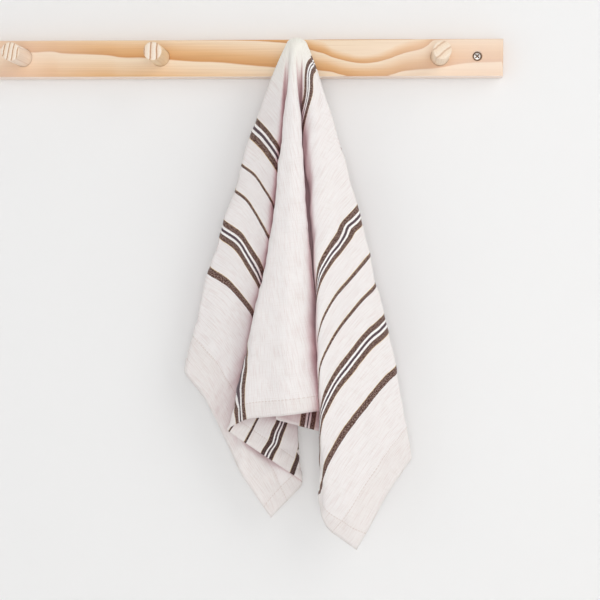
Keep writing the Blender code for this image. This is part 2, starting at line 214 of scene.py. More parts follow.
# Adds a node, sets its values and links its inputs. A node given as a value is linked from its first live
# output. A colour is given as its hex value, and stops run from the first to the last.
def addNode(tree, kind, inputs=None, operation=None, stops=(), curve=(), **settings):
    node = tree.nodes.new("ShaderNode" + kind)
    if kind == "Mix":
        node.data_type = "RGBA"
    if operation:
        node.operation = operation
    for name, value in settings.items():
        setattr(node, name, value)
    for key, value in (inputs or {}).items():
        named = [socket for socket in node.inputs if socket.enabled and socket.name == key]
        socket = named[0] if named else node.inputs[key]
        if isinstance(value, str):
            value = toLinear(value)
        if isinstance(value, bpy.types.Node):
            value = next(output for output in value.outputs if output.enabled)
        if isinstance(value, bpy.types.NodeSocket):
            tree.links.new(value, socket)
        else:
            socket.default_value = value
    if stops:
        ramp = node.color_ramp.elements
        ramp[0].position = stops[0][0]
        ramp[1].position = stops[-1][0]
        for place, color in stops[1:-1]:
            ramp.new(place)
        for stop, (place, color) in zip(ramp, stops):
            stop.color = toLinear(color) if isinstance(color, str) else color
    for index, point in enumerate(curve):
        points = node.mapping.curves[0].points
        if index < 2:
            points[index].location = point
        else:
            points.new(*point)
    if curve:
        node.mapping.update()
    return node


# Scale of a pattern whose grains are this long in each direction, in millimetres.
def grainScale(x, y, z=1000):
    return 1 / (x * mm), 1 / (y * mm), 1 / (z * mm)


def newMaterial(name):
    material = bpy.data.materials.new(name)
    material.use_nodes = True
    tree = material.node_tree
    return material, tree.nodes["Principled BSDF"], functools.partial(addNode, tree), tree.links.new


def addPiece(name, mesh, material=None):
    piece = bpy.data.objects.new(name, mesh)
    bpy.context.scene.collection.objects.link(piece)
    if material:
        mesh.materials.append(material)
    return piece


def meshFrom(bm, name):
    mesh = bpy.data.meshes.new(name)
    bm.to_mesh(mesh)
    bm.free()
    return mesh


print("camera, room and lights")
cameraData = bpy.data.cameras.new("photoCamera")
cameraData.lens = cameraView["lens"]
cameraData.clip_end = 50
camera = bpy.data.objects.new("photoCamera", cameraData)
bpy.context.scene.collection.objects.link(camera)
cameraTurn = (Matrix.Rotation(math.radians(cameraView["turn"]), 4, "Z")
              @ Matrix.Rotation(math.radians(90 - cameraView["tilt"]), 4, "X")
              @ Matrix.Rotation(math.radians(cameraView["roll"]), 4, "Z"))
camera.matrix_world = Matrix.Translation(cameraView["place"]) @ cameraTurn
bpy.context.scene.camera = camera
bpy.context.scene.view_settings.view_transform = "Standard"

world = bpy.data.worlds.new("softRoom")
world.use_nodes = True
background = world.node_tree.nodes["Background"]
background.inputs["Color"].default_value = toLinear(studio["worldColor"])
background.inputs["Strength"].default_value = studio["worldStrength"]
bpy.context.scene.world = world

for name, (place, aim, size, watts, color) in studioLights.items():
    lamp = bpy.data.lights.new(name, "AREA")
    lamp.size = size
    lamp.energy = watts
    lamp.color = toLinear(color)[:3]
    lampObject = bpy.data.objects.new(name, lamp)
    lampObject.location = place
    facing = Vector(aim) - Vector(place)
    lampObject.rotation_euler = facing.to_track_quat("-Z", "Y").to_euler()
    bpy.context.scene.collection.objects.link(lampObject)

# Matt wall paint, seen from the room's side only. From behind the wall isn't there, and it casts no shadow.
wallPaint, paintShader, node, join = newMaterial("wallPaint")
paintShader.inputs["Base Color"].default_value = toLinear(studio["wallColor"])
paintShader.inputs["Roughness"].default_value = 0.95
paintShader.inputs["Specular IOR Level"].default_value = 0.1
fromBehind = node("NewGeometry").outputs["Backfacing"]
seen = node("MixShader", {0: fromBehind, 1: paintShader, 2: node("BsdfTransparent")})
join(seen.outputs[0], wallPaint.node_tree.nodes["Material Output"].inputs["Surface"])

bm = bmesh.new()
wallSides = Matrix.Diagonal((studio["wallSize"][0] / 2, studio["wallSize"][1] / 2, 1, 1))
bmesh.ops.create_grid(bm, x_segments=1, y_segments=1, size=1.0, matrix=wallSides)
wallPlace = Matrix.Translation((0, studio["wallDepth"], 0)) @ Matrix.Rotation(math.pi / 2, 4, "X")
bmesh.ops.transform(bm, matrix=wallPlace, verts=bm.verts[:])
wall = addPiece("wallBackdrop", meshFrom(bm, "wallBackdrop"), wallPaint)
wall.visible_shadow = False

floorPaint, floorShader = newMaterial("floorPaint")[:2]
floorShader.inputs["Base Color"].default_value = toLinear(studio["floorColor"])
floorShader.inputs["Roughness"].default_value = 0.9
bm = bmesh.new()
bmesh.ops.create_grid(bm, x_segments=1, y_segments=1, size=studio["floorSize"] / 2)
bmesh.ops.translate(bm, vec=(0, 0, studio["floorHeight"]), verts=bm.verts[:])
floor = addPiece("studioFloor", meshFrom(bm, "studioFloor"), floorPaint)


print("pine board")
# Planed bare pine: wide flat-sawn growth rings, each dark above a sharp line at its foot and paler upwards,
# with fine fibres along the length. It is paler and pinker towards the ends of the board.
pine = {
    "start": -0.30, "length": 0.60,        # stretch of the board that the two ring lines are drawn over
    "low": -0.030, "high": 0.050,          # heights that 0 and 1 stand for in the curves
    "face": -0.018,
    "ringDepth": 0.0042,                   # ring spacing from the front of the board to the back
    "wobble": 0.0016,                      # how far the rings wander from the drawn lines
    "wobbleSize": (71.4, 16.7, 9.1),       # millimetres, as all sizes of patterns
    "fibreSize": (111, 1.4, 1.4),          # drawn coarser than the real 0.1 mm fibres
    "fibre": "E2D3C4", "fibreShare": 0.35,
    "aboveShare": 1.5, "aboveMost": 0.93,  # how the rings go on above and below the two drawn lines
    "belowShare": 0.8,
    "rings": ((0, "D2965A"), (0.1, "DBA368"), (0.33, "E4B47E"), (0.58, "EECBA2"), (0.9, "F5DFC3"),
              (0.965, "F5DFC3"), (1, "D2965A")),
    "paler": "F8E3D3", "palerFrom": 0.10, "palerTo": 0.28, "palerShare": 0.55,
    "endGrain": "D9B083", "endShare": 0.55,
    # painted light on the underside and its eased edge
    "paintedUnderLight": "F8EAE2", "underLightShare": 0.75,
}
# Heights of two neighbouring growth lines along the face of the board, in millimetres.
lowerRing = (
    (-300, 13), (-222, 9.6), (-211, 7.4), (-190, 8), (-178, 6), (-151, 5.2), (-129, 4), (-114, 1.6),
    (-92, 1.2), (-41, -2.2), (2, -4.9), (44, -8.8), (94, -12.3), (106, -13.6), (119, -17.1), (132, -18.9),
    (155, -18.8), (170, -16.8), (182, -13.2), (199, -11.3), (219, -9.7), (247, -5.3), (285, -3.2), (300, -2.5),
)
upperRing = (
    (-300, 40), (-200, 32), (-100, 27.5), (0, 21), (47, 17.2), (60, 15.7), (89, 8), (98, 6), (110, 0.9),
    (124, -3.1), (138, -5.2), (151, -4.4), (166, -0.9), (178, 3.8), (189, 6.8), (199, 8.9), (207, 12.2),
    (216, 19.4), (240, 22), (300, 24),
)


def ringCurve(line):
    height = pine["high"] - pine["low"]
    return [((x * mm - pine["start"]) / pine["length"], (z * mm - pine["low"]) / height) for x, z in line]


def makePine():
    material, shader, node, join = newMaterial("planedPine")
    place = node("TexCoord").outputs["Object"]
    x, y, z = node("SeparateXYZ", {0: place}).outputs
    along = node("MapRange", {0: x, 1: pine["start"], 2: pine["start"] + pine["length"]})
    lower = node("FloatCurve", {"Value": along}, curve=ringCurve(lowerRing))
    upper = node("FloatCurve", {"Value": along}, curve=ringCurve(upperRing))
    stretched = node("Mapping", {"Vector": place, "Scale": grainScale(*pine["wobbleSize"])})
    wander = node("TexNoise", {"Vector": stretched, "Scale": 1.0, "Detail": 3.0})
    wobble = node("MapRange", {0: wander, 3: -pine["wobble"], 4: pine["wobble"]})
    height = node("MapRange", {0: node("Math", {0: z, 1: wobble}, "ADD"),
                               1: pine["low"], 2: pine["high"]}, clamp=False)
    above = node("Math", {0: height, 1: lower}, "SUBTRACT")
    spacing = node("Math", {0: upper, 1: lower}, "SUBTRACT")
    evenly = node("Math", {0: above, 1: spacing}, "DIVIDE")
    within = node("Clamp", {0: evenly})
    past = node("Math", {0: evenly, 1: 1.0}, "SUBTRACT")
    over = node("Math", {0: past, 1: 0.0}, "MAXIMUM")
    under = node("Math", {0: evenly, 1: 0.0}, "MINIMUM")
    slowed = node("Math", {0: node("Math", {0: over, 1: pine["aboveShare"]}, "MULTIPLY"),
                           1: pine["aboveMost"]}, "MINIMUM")
    raised = node("Math", {0: slowed, 1: within}, "ADD")
    onFace = node("Math", {0: under, 1: pine["belowShare"], 2: raised}, "MULTIPLY_ADD")
    depth = node("MapRange", {0: y, 1: pine["face"], 2: pine["face"] + pine["ringDepth"]}, clamp=False)
    grain = node("Math", {0: node("Math", {0: onFace, 1: depth}, "ADD")}, "FRACT")
    rings = node("ValToRGB", {0: grain}, stops=pine["rings"])
    # fibres along the board
    drawnOut = node("Mapping", {"Vector": place, "Scale": grainScale(*pine["fibreSize"])})
    fibres = node("TexNoise", {"Vector": drawnOut, "Scale": 1.0, "Detail": 3.0, "Roughness": 0.6})
    fibreShade = node("ValToRGB", {0: fibres}, stops=((0.3, pine["fibre"]), (0.62, "FFFFFF")))
    fibred = node("Mix", {"Factor": pine["fibreShare"], "A": rings, "B": fibreShade}, blend_type="MULTIPLY")
    # the two ends have faded
    fromMiddle = node("Math", {0: x}, "ABSOLUTE")
    faded = node("MapRange", {0: fromMiddle, 1: pine["palerFrom"], 2: pine["palerTo"], 4: pine["palerShare"]},
                 interpolation_type="SMOOTHSTEP")
    aged = node("Mix", {"Factor": faded, "A": fibred, "B": pine["paler"]})
    # sawn ends soak up more and look darker
    endways, forward, up = node("SeparateXYZ", {0: node("TexCoord").outputs["Normal"]}).outputs
    atEnd = node("MapRange", {0: node("Math", {0: endways}, "ABSOLUTE"), 1: 0.6, 2: 0.95, 4: pine["endShare"]})
    ended = node("Mix", {"Factor": atEnd, "A": aged, "B": pine["endGrain"]}, blend_type="MULTIPLY")
    # painted light: the underside and its eased edge are coloured paler and pinker, a painted highlight on the
    # edge and bounced light below
    below = node("MapRange", {0: up, 1: -0.3, 2: -0.8, 4: pine["underLightShare"]})
    color = node("Mix", {"Factor": below, "A": ended, "B": pine["paintedUnderLight"]})
    roughness = node("MapRange", {0: fibres, 3: 0.42, 4: 0.62})
    bump = node("Bump", {"Strength": 0.25, "Distance": 0.0004, "Height": fibres})
    join(color.outputs[2], shader.inputs["Base Color"])
    join(roughness.outputs[0], shader.inputs["Roughness"])
    join(bump.outputs[0], shader.inputs["Normal"])
    return material


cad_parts["rail"].material_slots[0].material = makePine()


print("pegs and screws")


# A closed turned body on its own Y axis, from a profile of (radius, y) pairs with both ends on the axis.
def turnBody(profile, steps):
    bm = bmesh.new()
    points = [bm.verts.new((radius, y, 0)) for radius, y in profile]
    edges = [bm.edges.new(pair) for pair in zip(points[:-1], points[1:])]
    bmesh.ops.spin(bm, geom=points + edges, cent=(0, 0, 0), axis=(0, 1, 0), angle=math.tau, steps=steps,
                   use_merge=True)
    bmesh.ops.remove_doubles(bm, verts=bm.verts[:], dist=1e-6)
    bmesh.ops.recalc_face_normals(bm, faces=bm.faces[:])
    return bm


def smoothOver(mesh, degrees):
    mesh.shade_smooth()
    mesh.set_sharp_from_angle(angle=math.radians(degrees))


# Turned pine dowel: straight growth lines run through it, so its sanded end shows them as parallel lines.
dowel = {
    "wanderSize": (11.1, 83.3, 6.25), "wander": 0.35,
    "fibreSize": (1.11, 33.3, 1.11),       # drawn coarser than the real 0.1 mm fibres
    "fibre": "E6D8CA", "fibreShare": 0.35,
    "lines": ((0, "A9714E"), (0.1, "C79670"), (0.2, "F1DCC4"), (0.85, "F9EEE0"), (0.95, "EBCFAF"),
              (1, "D3A67C")),
    "sideShare": 0.85,
}


def makePegWood(name, grain, x):
    material, shader, node, join = newMaterial("dowelPine_" + name[-1])
    place = node("TexCoord").outputs["Object"]
    turned = node("Mapping", {"Vector": place, "Location": (x, 0, peg["height"]),
                              "Rotation": (0, math.radians(grain["slant"]), 0)}, vector_type="TEXTURE")
    stretched = node("Mapping", {"Vector": turned, "Scale": grainScale(*dowel["wanderSize"])})
    wander = node("TexNoise", {"Vector": stretched, "Scale": 1.0, "Detail": 2.0})
    across = node("SeparateXYZ", {0: turned}).outputs[0]
    rings = node("Math", {0: across, 1: 1 / (grain["spacing"] * mm), 2: grain["shift"]}, "MULTIPLY_ADD")
    wavy = node("Math", {0: wander, 1: dowel["wander"], 2: rings}, "MULTIPLY_ADD")
    lines = node("ValToRGB", {0: node("Math", {0: wavy}, "FRACT")}, stops=dowel["lines"])
    # along the peg's side the growth lines run with its length and hardly show
    facing = node("SeparateXYZ", {0: node("TexCoord").outputs["Normal"]}).outputs[1]
    onSide = node("MapRange", {0: facing, 1: -0.9, 2: -0.5, 3: grain["faded"], 4: dowel["sideShare"]})
    color = node("Mix", {"Factor": onSide, "A": lines, "B": grain["side"]})
    drawnOut = node("Mapping", {"Vector": turned, "Scale": grainScale(*dowel["fibreSize"])})
    fibres = node("TexNoise", {"Vector": drawnOut, "Scale": 1.0, "Detail": 2.0})
    shade = node("ValToRGB", {0: fibres}, stops=((0.3, dowel["fibre"]), (0.65, "FFFFFF")))
    fibred = node("Mix", {"Factor": dowel["fibreShare"], "A": color, "B": shade}, blend_type="MULTIPLY")
    bump = node("Bump", {"Strength": 0.2, "Distance": 0.0003, "Height": fibres})
    join(fibred.outputs[2], shader.inputs["Base Color"])
    join(bump.outputs[0], shader.inputs["Normal"])
    shader.inputs["Roughness"].default_value = 0.5
    return material


def makePeg(name, grain):
    low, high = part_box(grain["node"])
    x = (low[0] + high[0]) / 2
    flat = peg["radius"] - peg["rim"]
    profile = [(0, peg["tip"])]
    profile += [(flat * share, peg["tip"] + peg["crown"] * share ** 2) for share in (0.5, 0.8)]
    for degrees in (0, 22.5, 45, 67.5, 90):
        angle = math.radians(degrees)
        profile.append((flat + peg["rim"] * math.sin(angle),
                        peg["tip"] + peg["crown"] + peg["rim"] * (1 - math.cos(angle))))
    profile += [(peg["radius"], peg["seat"]), (0, peg["seat"])]
    bm = turnBody(profile, peg["steps"])
    bmesh.ops.translate(bm, vec=(x, 0, peg["height"]), verts=bm.verts[:])
    mesh = meshFrom(bm, name)
    smoothOver(mesh, 35)
    piece = addPiece(name, mesh, makePegWood(name, grain, x))
    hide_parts(grain["node"])
    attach(piece, "root")


for name, pegRow in pegRows.items():
    makePeg(name, dict(zip(pegParts, pegRow)))


# Zinc-plated steel: a pale grey metal with a soft shine and fine turning marks, with painted shade in the
# recess and round the rim of the head.
zincLooks = {"marks": 0.7143, "dull": "B9B2AB", "bright": "DDD7D1", "paintedShade": "65503F", "shadeEdge": 0.0004}


def makeZinc():
    material, shader, node, join = newMaterial("zincPlatedSteel")
    low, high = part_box("screw_right")
    screwX = (low[0] + high[0]) / 2
    place = node("TexCoord").outputs["Object"]
    marks = node("TexNoise", {"Vector": place, "Scale": 1 / (zincLooks["marks"] * mm), "Detail": 3.0})
    color = node("ValToRGB", {0: marks}, stops=((0.3, zincLooks["dull"]), (0.7, zincLooks["bright"])))
    x, depth, z = node("SeparateXYZ", {0: place}).outputs
    # painted shade: the cross recess and a ring round the head's rim are coloured dark brown
    inRecess = node("MapRange", {0: depth, 1: screw["head"] + screw["crown"], 2: screw["head"] + 0.0006})
    fromScrew = node("Math", {0: node("Math", {0: x}, "ABSOLUTE"), 1: screwX}, "SUBTRACT")
    above = node("Math", {0: z, 1: peg["height"]}, "SUBTRACT")
    offCentre = node("CombineXYZ", {0: fromScrew, 1: above})
    radius = node("VectorMath", {0: offCentre}, "LENGTH").outputs["Value"]
    atRim = node("MapRange", {0: radius, 1: screw["rimRadius"],
                              2: screw["rimRadius"] + zincLooks["shadeEdge"]})
    paintedShadeMask = node("Math", {0: inRecess, 1: atRim}, "MAXIMUM")
    shadedZinc = node("Mix", {"Factor": paintedShadeMask, "A": color, "B": zincLooks["paintedShade"]})
    roughness = node("MapRange", {0: marks, 3: 0.28, 4: 0.5})
    join(shadedZinc.outputs[2], shader.inputs["Base Color"])
    join(roughness.outputs[0], shader.inputs["Roughness"])
    shader.inputs["Metallic"].default_value = 1.0
    return material


zinc = makeZinc()


def makeScrew(name, nodeName):
    low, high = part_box(nodeName)
    x = (low[0] + high[0]) / 2
    head = screw["head"]
    bm = turnBody((
        (0, head),
        (0.7 * screw["headRadius"], head + 0.3 * screw["crown"]),
        (screw["headRadius"] - 0.0002, head + screw["crown"]),
        (screw["headRadius"], head + screw["crown"] + 0.0002),
        (screw["headRadius"], head + 0.0007),
        (screw["shankRadius"], head + screw["headDepth"]),
        (screw["shankRadius"], screw["end"]),
        (0, screw["end"]),
    ), screw["steps"])
    bmesh.ops.translate(bm, vec=(x, 0, peg["height"]), verts=bm.verts[:])
    mesh = meshFrom(bm, name)
    smoothOver(mesh, 30)
    piece = addPiece(name, mesh, zinc)
    # the cross recess: two tapered bars pressed into the head
    for turn in screw["crossTurns"]:
        bm = bmesh.new()
        bmesh.ops.create_cube(bm, size=1.0)
        bmesh.ops.scale(bm, vec=(screw["crossLength"], 2 * screw["crossDepth"], screw["crossWidth"]),
                        verts=bm.verts[:])
        deep = [v for v in bm.verts if v.co.y > 0]
        bmesh.ops.scale(bm, vec=(screw["floorLength"], 1, screw["floorWidth"]), verts=deep)
        setting = Matrix.Translation((x, head, peg["height"])) @ Matrix.Rotation(math.radians(turn), 4, "Y")
        bmesh.ops.transform(bm, matrix=setting, verts=bm.verts[:])
        cutter = addPiece(name + "_bar", meshFrom(bm, name + "_bar"))
        cut = piece.modifiers.new("recess", "BOOLEAN")
        cut.object = cutter
        depsgraph = bpy.context.evaluated_depsgraph_get()
        done = bpy.data.meshes.new_from_object(piece.evaluated_get(depsgraph))
        piece.modifiers.clear()
        piece.data = done
        bpy.data.objects.remove(cutter)
    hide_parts(nodeName)
    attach(piece, "root")


for name, nodeName in screwNames.items():
    makeScrew(name, nodeName)


print("towel shape")
pegLow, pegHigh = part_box("peg_3")
pegX = (pegLow[0] + pegHigh[0]) / 2
# The cloth's edge, from behind the peg round by the left: the flat places of its corners.
cornerU = np.array((0.0, -towel["left"], -towel["left"], towel["right"], towel["right"], 0.0))
cornerW = np.array((-towel["back"], -towel["back"], towel["front"], towel["front"], -towel["back"],
                    -towel["back"]))
clothWidth = towel["left"] + towel["right"]
clothDepth = towel["front"] + towel["back"]
cornerRun = np.cumsum((0.0, towel["left"], clothDepth, clothWidth, clothDepth, towel["right"]))
perimeter = cornerRun[-1]


def ease(share):
    share = np.clip(share, 0, 1)
    return share * share * (3 - 2 * share)


# Distance round the cloth's edge of the place where the line from the tip through (u, w) leaves it.
def edgeRun(u, w):
    tiny = 1e-12           # keeps the divisions below finite
    across = np.where(u < 0, towel["left"] / np.maximum(-u, tiny), towel["right"] / np.maximum(u, tiny))
    along = np.where(w < 0, towel["back"] / np.maximum(-w, tiny), towel["front"] / np.maximum(w, tiny))
    grow = np.minimum(across, along)
    edgeU = u * grow
    edgeW = w * grow
    onLeft = cornerRun[1] + edgeW + towel["back"]
    onRight = cornerRun[3] + towel["front"] - edgeW
    onFront = cornerRun[2] + edgeU + towel["left"]
    onBack = np.where(edgeU <= 0, -edgeU, perimeter - edgeU)
    onSides = np.where(u < 0, onLeft, onRight)
    return np.where(across < along, onSides, np.where(w > 0, onFront, onBack))


# The cloth round the peg's tip: a dome in front of the tip and a saddle on the peg behind it.
def domeTop(u, w):
    reach = np.hypot(u, w)
    taken = tip["gatherTaken"]
    spread = tip["gatherSpread"]
    gathered = reach - taken * (1 - np.exp(-reach / spread))
    sideways = np.abs(u) - taken * (1 - np.exp(-np.abs(u) / spread))
    onSaddle = ease(-w / tip["saddleStart"])
    radius = tip["domeRadius"] + (tip["saddleRadius"] - tip["domeRadius"]) * onSaddle
    domeMiddle = tip["domeTop"] - tip["domeRadius"]
    middle = domeMiddle + (peg["height"] - domeMiddle) * onSaddle
    length = np.where(w > 0, gathered, sideways)
    angle = np.minimum(length / radius, math.pi / 2)
    out = radius * np.sin(angle)
    down = radius * (1 - np.cos(angle)) + np.maximum(length - radius * math.pi / 2, 0)
    safe = np.maximum(reach, 1e-9)
    x = np.where(w > 0, out * u / safe, out * np.sign(u))
    y = np.where(w > 0, -out * w / safe, -w)
    return np.stack((pegX + x, tip["y"] + y, middle + radius - down), axis=-1)


# Flat length of cloth that lies on the dome, shorter towards the sides, where the cloth leaves it sooner.
def shoulderLength(u, length):
    return np.minimum(tip["domeReach"] * (1 - tip["sideFlare"] * np.abs(u) / length), tip["domeShare"] * length)


foldLines = [dict(zip(foldParts, row)) for row in foldRows]
foldU, foldW = mm * np.array([line["edge"] for line in foldLines], float).T
foldLength = np.hypot(foldU, foldW)
foldRun = edgeRun(foldU, foldW)
foldShoulder = shoulderLength(foldU, foldLength)
shoulderShare = foldShoulder / foldLength
stepBack = 1e-4            # for the slope where the cloth leaves the dome
beforeShare = shoulderShare - stepBack / foldLength
foldStart = domeTop(foldU * shoulderShare, foldW * shoulderShare)
startSlope = (foldStart - domeTop(foldU * beforeShare, foldW * beforeShare)) / stepBack
foldStops = np.zeros((len(foldLines), 5, 3))
foldSlopes = np.zeros((len(foldLines), 5, 3))
for index, line in enumerate(foldLines):
    start = foldStart[index]
    hem = mm * np.array(line["hem"], float) + (pegX, 0, 0)
    fall = 0.5 * (foldLength[index] - foldShoulder[index]) * startSlope[index]
    if line["upper"]:
        upper, middle, lower = [mm * np.array(line[part], float) + (pegX, 0, 0) for part in foldParts[2:5]]
    else:
        middle = np.array((line["middle"][0] * mm + pegX, line["middle"][1] * mm, 0.5 * (start[2] + hem[2])))
        slopeMiddle = 0.5 * (hem - start)
        slopeHem = 2 * (hem - middle) - slopeMiddle
        upper = 0.5 * (start + middle) + (fall - slopeMiddle) / 8
        lower = 0.5 * (middle + hem) + (slopeMiddle - slopeHem) / 8
    stops = np.array((start, upper, middle, lower, hem))
    foldStops[index] = stops
    foldSlopes[index, 1:4] = (stops[2:] - stops[:-2]) / 2
    foldSlopes[index, 0] = (1 - tip["lean"]) * fall / 2 + tip["lean"] * (upper - start)
    foldSlopes[index, 4] = 2 * (hem - lower) - foldSlopes[index, 3]


# Place on a fold line: the dome, then a smooth curve through the line's stops to its hem.
# ring is 0 to 1 on the dome and 1 to 2 on the cloth below it.
def onFold(index, ring):
    length = foldLength[index]
    shoulder = foldShoulder[index]
    reach = np.where(ring < 1, ring * shoulder, shoulder + (ring - 1) * (length - shoulder))
    share = reach / length
    top = domeTop(foldU[index] * share, foldW[index] * share)
    t = np.clip((ring - 1) * 4, 0, 4.5)    # four stretches between the five stops
    stop = np.minimum(t.astype(int), 3)
    s = (t - stop)[..., None]
    curve = ((2 * s ** 3 - 3 * s ** 2 + 1) * foldStops[index, stop]
             + (s ** 3 - 2 * s ** 2 + s) * foldSlopes[index, stop]
             + (3 * s ** 2 - 2 * s ** 3) * foldStops[index, stop + 1]
             + (s ** 3 - s ** 2) * foldSlopes[index, stop + 1])
    return np.where((ring < 1)[..., None], top, curve), top


def betweenFolds(run, ring):
    run = np.mod(run, perimeter)
    after = np.searchsorted(foldRun, run, side="right")
    before = after - 1
    start = foldRun[before]
    wrapped = after % len(foldRun)
    end = np.where(after < len(foldRun), foldRun[wrapped], perimeter)
    share = ((run - start) / (end - start))[..., None]
    here, topHere = onFold(before, ring)
    there, topThere = onFold(wrapped, ring)
    return here + (there - here) * share, topHere + (topThere - topHere) * share


# Where the line from the tip meets the cloth's edge at this run, and how far down that line a reach is.
def alongLine(run, reach):
    run = np.mod(run, perimeter)
    edgeU = np.interp(run, cornerRun, cornerU)
    edgeW = np.interp(run, cornerRun, cornerW)
    length = np.hypot(edgeU, edgeW)
    shoulder = shoulderLength(edgeU, length)
    ring = np.where(reach < shoulder, reach / shoulder, 1 + (reach - shoulder) / (length - shoulder))
    return length, shoulder, ring


# Place in the air of the point (u, w) of the flat cloth, with every fold rounded.
def drape(u, w):
    run = edgeRun(u, w)
    reach = np.hypot(u, w)
    length, shoulder, ring = alongLine(run, reach)
    window = folding["round"] * length / np.maximum(reach, folding["leastReach"] * length)
    window = np.minimum(window, folding["roundAtTop"])
    for flatU, flatW in zip(cornerU[1:-1], cornerW[1:-1]):
        away = np.hypot(u - flatU, w - flatW)
        window = window * np.clip(away / folding["cornerSharpness"], 0, 1)
    folded = np.zeros(run.shape + (3,))
    plain = np.zeros(run.shape + (3,))
    total = sum(weight for offset, weight in folding["beside"])
    for offset, weight in folding["beside"]:
        beside = run + offset * window
        point, top = betweenFolds(beside, alongLine(beside, reach)[2])
        folded += point * (weight / total)
        plain += top * (weight / total)
    trueTop = domeTop(u, w)
    beyond = np.where(w > 0, reach - shoulder, np.abs(u) - tip["domeReach"])
    settle = np.exp(-np.maximum(beyond, 0) / tip["settle"])[..., None]
    settled = folded + (trueTop - plain) * settle
    onPeg = np.where(w < 0, ease((tip["hold"] - np.abs(u)) / tip["holdFade"]), 0.0)[..., None]
    return settled + (trueTop - settled) * onPeg


# Creases across the folds, each a soft trough or ridge between two flat places to the right of and in front
# of the tip. Millimetres.
creaseParts = ("name", "start", "end", "width", "height")
creaseRows = (
    ("left panel, shoulder", (-95, 62), (-196, 116), 7, 0.9),
    ("left panel, inner", (-118, 92), (-228, 196), 8, -0.9),
    ("left panel, above the hem", (-250, 158), (-300, 212), 6, -0.7),
    ("left panel, to the corner", (-262, 236), (-314, 330), 7, 0.9),
    ("left panel, pocket", (-282, 268), (-318, 304), 4, -1.3),
    ("left corner", (-300, 352), (-262, 388), 6, 0.8),
    ("flap, lower", (-236, 372), (-214, 392), 4, -0.9),
    ("flap, upper", (-196, 362), (-176, 392), 4, 0.8),
    ("centre panel, left", (-52, 150), (-92, 352), 7, 0.6),
    ("centre panel, middle", (-30, 190), (-58, 380), 6, -0.5),
    ("centre panel, right", (-8, 130), (-36, 366), 9, -2.4),
    ("right panel, upper kink", (148, 138), (190, 178), 3, -1.1),
    ("right panel, shoulder", (90, 80), (196, 158), 9, 0.9),
    ("right panel, inner", (196, 196), (268, 300), 6, -0.8),
    ("right panel, outer kink", (226, 168), (246, 196), 3, -0.9),
    ("right panel, lower", (268, 232), (352, 322), 9, 0.9),
    ("right panel, wavy edge", (286, 330), (314, 372), 4, -1.2),
    ("right corner", (330, 366), (368, 340), 6, -0.8),
)
# Places where the threads have been pulled along the cloth, so that a stripe steps aside. Millimetres.
pullParts = ("name", "place", "size", "shift")
pullRows = (
    ("middle stripes, at the peg", (50, 40), (30, 18), 11.0),
    ("middle stripes, lower", (44, 62), (14, 14), -4.0),
    ("middle stripes, at the hem", (58, 395), (50, 60), -10.0),
    ("upper stripes, right", (180, 166), (14, 30), -4.5),
    ("upper stripes, kink", (176, 150), (12, 7), 2.2),
    ("first thin stripe, right", (212, 186), (10, 24), -2.6),
    ("second thin stripe, right", (232, 158), (10, 16), 2.6),
    ("last stripe, right", (302, 352), (14, 10), -3.0),
    ("last stripe, lower", (302, 380), (14, 8), 2.4),
    ("flap stripes", (-204, 378), (14, 7), 2.0),
    ("beside the centre panel, upper", (-82, 290), (14, 50), -14.0),
    ("beside the centre panel, lower", (-96, 345), (12, 30), -6.0),
    ("beside the flap fold", (-129, 352), (12, 34), 13.0),
    ("upper stripes, left", (-98, 84), (20, 80), -7.5),
    ("first thin stripe, left", (-147, 100), (10, 55), -3.6),
    ("second thin stripe, left", (-171, 90), (11, 42), -4.6),
    ("lower stripes, left", (-209, 192), (14, 34), 5.0),
    ("wide stripe, left", (-240, 196), (12, 70), -6.5),
)


def creaseHeight(u, w):
    total = np.zeros(u.shape)
    for row in creaseRows:
        crease = dict(zip(creaseParts, row))
        start = mm * np.array(crease["start"], float)
        way = mm * np.array(crease["end"], float) - start
        along = ((u - start[0]) * way[0] + (w - start[1]) * way[1]) / (way @ way)
        nearest = np.clip(along, 0, 1)
        away = np.hypot(u - start[0] - nearest * way[0], w - start[1] - nearest * way[1])
        away = away / (crease["width"] * mm)
        fade = ease((0.5 - np.abs(nearest - 0.5)) / 0.2) * 0.8 + 0.2   # shallower towards both ends
        total += crease["height"] * mm * np.exp(-away ** 2) * fade
    return total


def threadShift(u, w):
    total = np.zeros(u.shape)
    for row in pullRows:
        pull = dict(zip(pullParts, row))
        away = np.hypot((u - pull["place"][0] * mm) / (pull["size"][0] * mm),
                        (w - pull["place"][1] * mm) / (pull["size"][1] * mm))
        total += pull["shift"] * mm * np.exp(-away ** 2)
    return total


# Even waves of about one size in every direction, for small unevenness. Repeatable from its seed.
def ripple(u, w, size, seed, waves=9):
    draw = np.random.default_rng(seed)
    total = np.zeros(u.shape)
    for turn, stretch, phase in zip(draw.uniform(0, math.tau, waves), draw.uniform(0.7, 1.5, waves),
                                    draw.uniform(0, math.tau, waves)):
        total += np.sin((u * math.cos(turn) + w * math.sin(turn)) * math.tau / (size * stretch) + phase)
    return total / math.sqrt(waves)


# Flat places of the mesh lines across one side of the cloth, closer together near the tip.
def meshLines(low, high, count):
    fine = np.linspace(low, high, 4001)
    crowding = 1 + towel["closerAtTip"] * np.exp(-(fine / towel["closerReach"]) ** 2)
    total = np.cumsum(crowding) - crowding[0]
    return np.interp(np.linspace(0, total[-1], count + 1), total, fine)


